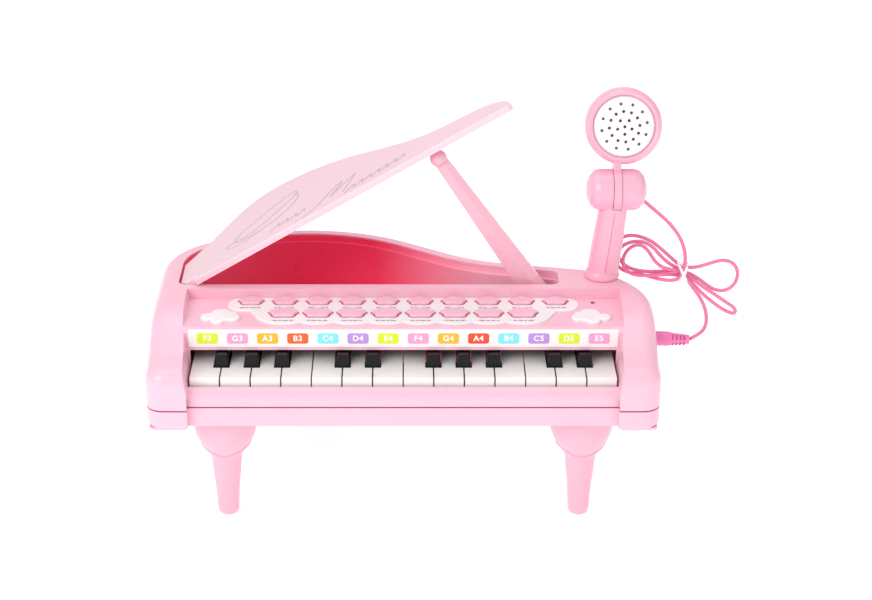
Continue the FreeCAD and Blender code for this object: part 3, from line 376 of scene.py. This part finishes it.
LIME, ROSE, AMBER, ORANGE = (222, 240, 0), (246, 160, 208), (255, 186, 0), (240, 92, 8)
RED, CYAN, VIOLET = (238, 66, 12), (130, 232, 250), (190, 142, 222)
CHIP_COLOURS = (LIME, ROSE, AMBER, ORANGE, CYAN, VIOLET, LIME, ROSE, AMBER, RED, CYAN, VIOLET, LIME, ROSE)
CHIP_PITCH, CHIP_Z = 23.4, 152.6
CHIP_OUTLINE = rounded_rectangle(16.4, 8.8, 2.0)
CHIP_BACK, CHIP_FRONT, LETTERS_BACK = 0.02, 0.22, 0.3      # how far each lies in front of the strip
strip_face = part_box("label_strip")[0].y * 1000 + ORIGIN.y
chip_paint = {}
for i, colour in enumerate(dict.fromkeys(CHIP_COLOURS)):
    chip_paint[colour] = chip_material("chip_%d" % i, colour)
letter_white = chip_material("letter_white", (252, 252, 252))


def note_chip(note, x, colour):
    """The coloured label of one note, a thin plate open at its back."""
    front = [at(x + px, strip_face - CHIP_FRONT, CHIP_Z + pz) for px, pz in CHIP_OUTLINE]
    back = [at(x + px, strip_face - CHIP_BACK, CHIP_Z + pz) for px, pz in CHIP_OUTLINE]
    n = len(CHIP_OUTLINE)
    faces = [tuple(range(n))] + [(k, n + k, n + (k + 1) % n, (k + 1) % n) for k in range(n)]
    mesh_piece("note_chip_%s" % note, front + back, faces, chip_paint[colour], "case")


def note_name(note, x):
    """The name of one note in white letters on its chip."""
    text = bpy.data.curves.new("note_name_%s" % note, "FONT")
    text.body = note
    text.align_x = "CENTER"
    text.align_y = "CENTER"
    text.size = 0.0066
    text.offset = 0.00012
    text.space_character = 1.08
    text.extrude = 0.00005
    text.materials.append(letter_white)
    letters = bpy.data.objects.new("note_name_%s" % note, text)
    letters.location = at(x, strip_face - LETTERS_BACK, CHIP_Z)
    letters.rotation_euler = (math.radians(90), 0, 0)
    bpy.context.scene.collection.objects.link(letters)
    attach(letters, "case")


for i, (note, colour) in enumerate(zip(NOTES, CHIP_COLOURS)):
    chip_x = (i - 6.5) * CHIP_PITCH
    note_chip(note, chip_x, colour)
    note_name(note, chip_x)

# ---- marks on the control panel ----
PANEL_Z, BEZEL_Z = 160.1, 161.5
BUTTON_PITCH = 26.9
BUTTON_ROWS = ((10, 87.0, 9.9, 75.6), (8, 64.6, 11.5, 52.2))     # count, y, star radius, y of the marks
STAR_STEPS = 40
STAR_MEAN, STAR_WAVE = 0.93, 0.09       # shares of the radius: its mean and the swing of the five tips
STAR_FLATNESS = 0.70                    # how deep a star is for its width
SHADOW_LIFT, MARK_LIFT, LAMP_LIFT = 0.06, 0.05, 0.3      # heights above the surface that each lies on
DASHES = (3.6, 2.2, 4.4, 2.8)     # lengths of the strokes of one mark, which stand for small print
DASH_GAP, DASH_HALF = 0.9, 0.6    # space between strokes and half a stroke's height
LAMP_X, LAMP_Y, LAMP_RADIUS, LAMP_STEPS = 150.8, 88.0, 1.6, 24


def star_outline(x, y, radius, z, snug=False):
    """Just outside the outline of a star button, or that outline widened at its lower left and right, where
    the painted shadow around the button is broadest.
    """
    points = []
    for i in range(STAR_STEPS):
        a = 2 * math.pi * i / STAR_STEPS
        r = radius * (STAR_MEAN + STAR_WAVE * math.cos(5 * (a - math.pi / 2)))
        wider = 0.2 if snug else 0.4 + 1.0 * abs(math.cos(a)) * (1 if math.sin(a) < 0.2 else 0.3)
        points.append(at(x + (r + wider) * math.cos(a), y + (r * STAR_FLATNESS + wider) * math.sin(a), z))
    return points


def button_shadow_ring(name, x, y, radius):
    """A painted shadow in the gap around one button: a flat dark rose ring on the white trim."""
    ring = star_outline(x, y, radius, BEZEL_Z + SHADOW_LIFT)
    ring += star_outline(x, y, radius, BEZEL_Z + SHADOW_LIFT, snug=True)
    n = STAR_STEPS
    band = [(k, (k + 1) % n, n + (k + 1) % n, n + k) for k in range(n)]
    mesh_piece(name, ring, band, shadow_rose, "case")


def button_mark(name, x, y, strokes):
    """The small print under one button, as a row of short strokes."""
    z = BEZEL_Z + MARK_LIFT
    corners, faces = [], []
    left = x - (sum(strokes) + DASH_GAP * (len(strokes) - 1)) / 2
    for length in strokes:
        first = len(corners)
        right = left + length
        corners += [at(left, y - DASH_HALF, z), at(right, y - DASH_HALF, z),
                    at(right, y + DASH_HALF, z), at(left, y + DASH_HALF, z)]
        faces.append((first, first + 1, first + 2, first + 3))
        left = right + DASH_GAP
    mesh_piece(name, corners, faces, mark_red, "case")


def power_lamp():
    """The dark window of the power lamp, a flat disc."""
    rim = []
    for k in range(LAMP_STEPS):
        a = 2 * math.pi * k / LAMP_STEPS
        x, y = LAMP_X + LAMP_RADIUS * math.cos(a), LAMP_Y + LAMP_RADIUS * math.sin(a)
        rim.append(at(x, y, PANEL_Z + LAMP_LIFT))
    mesh_piece("power_lamp", rim, [tuple(range(LAMP_STEPS))], led_dark, "case")


for count, row_y, star_radius, mark_y in BUTTON_ROWS:
    for i in range(count):
        button_x = (i - (count - 1) / 2) * BUTTON_PITCH
        button_shadow_ring("button_gap_%d_%02d" % (count, i + 1), button_x, row_y, star_radius)
        first = i % len(DASHES)
        strokes = DASHES[first:] + DASHES[:first]
        button_mark("button_mark_%d_%02d" % (count, i + 1), button_x, mark_y, strokes)
power_lamp()


# ---- the flourish on the lid ----
FLOURISH_LIFT = 0.1


def on_lid(along, y):
    """A point just above the lid's upper face, from its distance along the lid from the hinge pin."""
    c, s = math.cos(LID_ANGLE), math.sin(LID_ANGLE)
    rise = LID_TOP + FLOURISH_LIFT
    return (LID_PIN[0] + along * c - rise * s, y, LID_PIN[1] + along * s + rise * c)


def flourish(name, points):
    """One stroke of the script, from places along the lid and across it."""
    thing = smooth_curve(name, [on_lid(*p) for p in points], 0.0005, script_grey)
    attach(thing, "lid")


def small_loops(start, end, y, rise, height, count):
    """A row of leaning loops, like handwriting that says nothing."""
    points = []
    for k in range(count * 4):
        along = start + (end - start) * k / (count * 4 - 1)
        up = (0, 0.5, 1.0, 0.4)[k % 4] * height
        points.append((along + up * 0.55, y + rise * k / (count * 4) + up))
    return points


flourish("flourish_swirl", [(66, 128), (48, 121), (34, 124), (30, 131), (38, 133), (54, 132), (74, 146),
                            (90, 160), (97, 171), (93, 176), (76, 168), (56, 154), (40, 143), (37, 131),
                            (52, 127), (74, 130), (92, 144), (99, 160), (96, 168)])
flourish("flourish_first_loops", small_loops(74, 104, 112, 2, 9, 4))
flourish("flourish_stroke", [(98, 104), (104, 102), (114, 108), (126, 122), (136, 134), (142, 138),
                             (136, 126), (128, 112), (138, 124), (150, 136), (154, 138), (148, 126),
                             (142, 112)])
flourish("flourish_second_loops", small_loops(144, 196, 106, 6, 10, 7))

# ---- scalloped lips of the leg cups ----
LEGS = (("left", -140.5, 35.0), ("right", 140.5, 35.0), ("rear", -80.0, 186.0))
LIP_Z, LIP_WAVE, LIP_STEPS = 61.0, 4.2, 36
CUP_Z, CUP_RADIUS, CUP_SLOPE = 57.0, 14.4, 0.62      # a height on the cup, its radius there and how it widens


def leg_lip(name, x, y):
    """The raised wavy edge around one cup, highest at the sides and lowest in front and behind."""
    lip = []
    for k in range(LIP_STEPS):
        turn = 2 * math.pi * k / LIP_STEPS
        z = LIP_Z - LIP_WAVE * math.cos(2 * turn)
        radius = CUP_RADIUS + (z - CUP_Z) * CUP_SLOPE
        lip.append((x + radius * math.sin(turn), y - radius * math.cos(turn), z))
    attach(smooth_curve(name, lip, 0.0011, leg_pink, closed=True), "case")


for label, leg_x, leg_y in LEGS:
    leg_lip("leg_lip_%s" % label, leg_x, leg_y)

# ---- slots in the plug's strain relief ----
PLUG_BASE = (194.7, 62.0, 141.5)
PLUG_DROOP = 0.04                     # fall for each millimetre out from the case
FIRST_SLOT, SLOT_PITCH, SLOT_COLUMNS = 17.5, 3.0, 4
GRIP_RADIUS, GRIP_TAPER = 5.15, 0.1   # at the first slot, and what each further one loses
SLOT_SINK = 0.93                      # of the grip's radius, so that the slots lie in its surface
SLOT_SPANS = (("upper", 15, 65), ("lower", -65, -15))      # degrees above level, on the side that is seen


def plug_slot(name, column, low, high):
    """One dark arc across the side of the strain relief."""
    from_base = FIRST_SLOT + SLOT_PITCH * column
    centre_x, centre_z = PLUG_BASE[0] + from_base, PLUG_BASE[2] - PLUG_DROOP * from_base
    radius = (GRIP_RADIUS - GRIP_TAPER * column) * SLOT_SINK
    arc = []
    for k in range(5):
        a = math.radians(low + (high - low) * k / 4)
        arc.append((centre_x, PLUG_BASE[1] - radius * math.cos(a), centre_z + radius * math.sin(a)))
    slot = smooth_curve(name, arc, 0.00055, slot_rose)
    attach(slot, "case")


for column in range(SLOT_COLUMNS):
    for label, low, high in SLOT_SPANS:
        plug_slot("plug_slot_%s_%d" % (label, column + 1), column, low, high)

# ---- light, floor and camera ----
LIGHT_AIM = (0, 0, 0.15)
FLOOR_SIZE = 30
LENS, LENS_SHIFT = 84.22018, 0.033      # millimetres for a 36 mm sensor, and a share of its width
EYE_PLACE, EYE_PITCH = (3.1, -1387.7, 842.0), 0.4315      # the pitch is in radians below level


def white_world():
    """An even white surround."""
    world = bpy.data.worlds.new("studio")
    world.use_nodes = True
    world.node_tree.nodes["Background"].inputs["Color"].default_value = (1, 1, 1, 1)
    world.node_tree.nodes["Background"].inputs["Strength"].default_value = 0.62
    bpy.context.scene.world = world
    bpy.context.scene.view_settings.view_transform = "Standard"


def softbox(name, place, size, power):
    """A square lamp that faces the keyboard."""
    lamp = bpy.data.lights.new(name, "AREA")
    lamp.energy = power
    lamp.size = size
    thing = bpy.data.objects.new(name, lamp)
    thing.location = place
    thing.rotation_euler = (Vector(LIGHT_AIM) - Vector(place)).to_track_quat("-Z", "Y").to_euler()
    bpy.context.scene.collection.objects.link(thing)


def floor_paper():
    """White paper that glows a little, so that it stays white around the keyboard."""
    paint = Nodes("floor_paper")
    paint.link(paint.spread(paint.noise(3), 0.3, 0.7, 0.85, 0.95), "Roughness")
    paint.shader.inputs["Base Color"].default_value = (0.92, 0.92, 0.92, 1)
    paint.shader.inputs["Emission Color"].default_value = (1, 1, 1, 1)
    paint.shader.inputs["Emission Strength"].default_value = 0.45
    bpy.ops.mesh.primitive_plane_add(size=FLOOR_SIZE, location=(0, 0, 0))
    floor = bpy.context.object
    floor.name = "studio_floor"
    floor.data.materials.append(paint.material)


def main_camera():
    """The photograph's view: level from side to side, looking down at the keys."""
    camera = bpy.data.cameras.new("camera")
    camera.lens = LENS
    camera.shift_x = LENS_SHIFT
    camera.clip_end = 50
    eye = bpy.data.objects.new("camera", camera)
    eye.location = at(*EYE_PLACE)
    eye.rotation_euler = (math.pi / 2 - EYE_PITCH, 0, 0)
    bpy.context.scene.collection.objects.link(eye)
    bpy.context.scene.camera = eye


white_world()
softbox("key_light", (-1.0, -1.2, 1.2), 1.0, 14)
softbox("fill_light", (1.2, -0.9, 1.1), 1.2, 3)
softbox("top_light", (-0.1, 0.3, 1.7), 1.4, 7)
floor_paper()
main_camera()
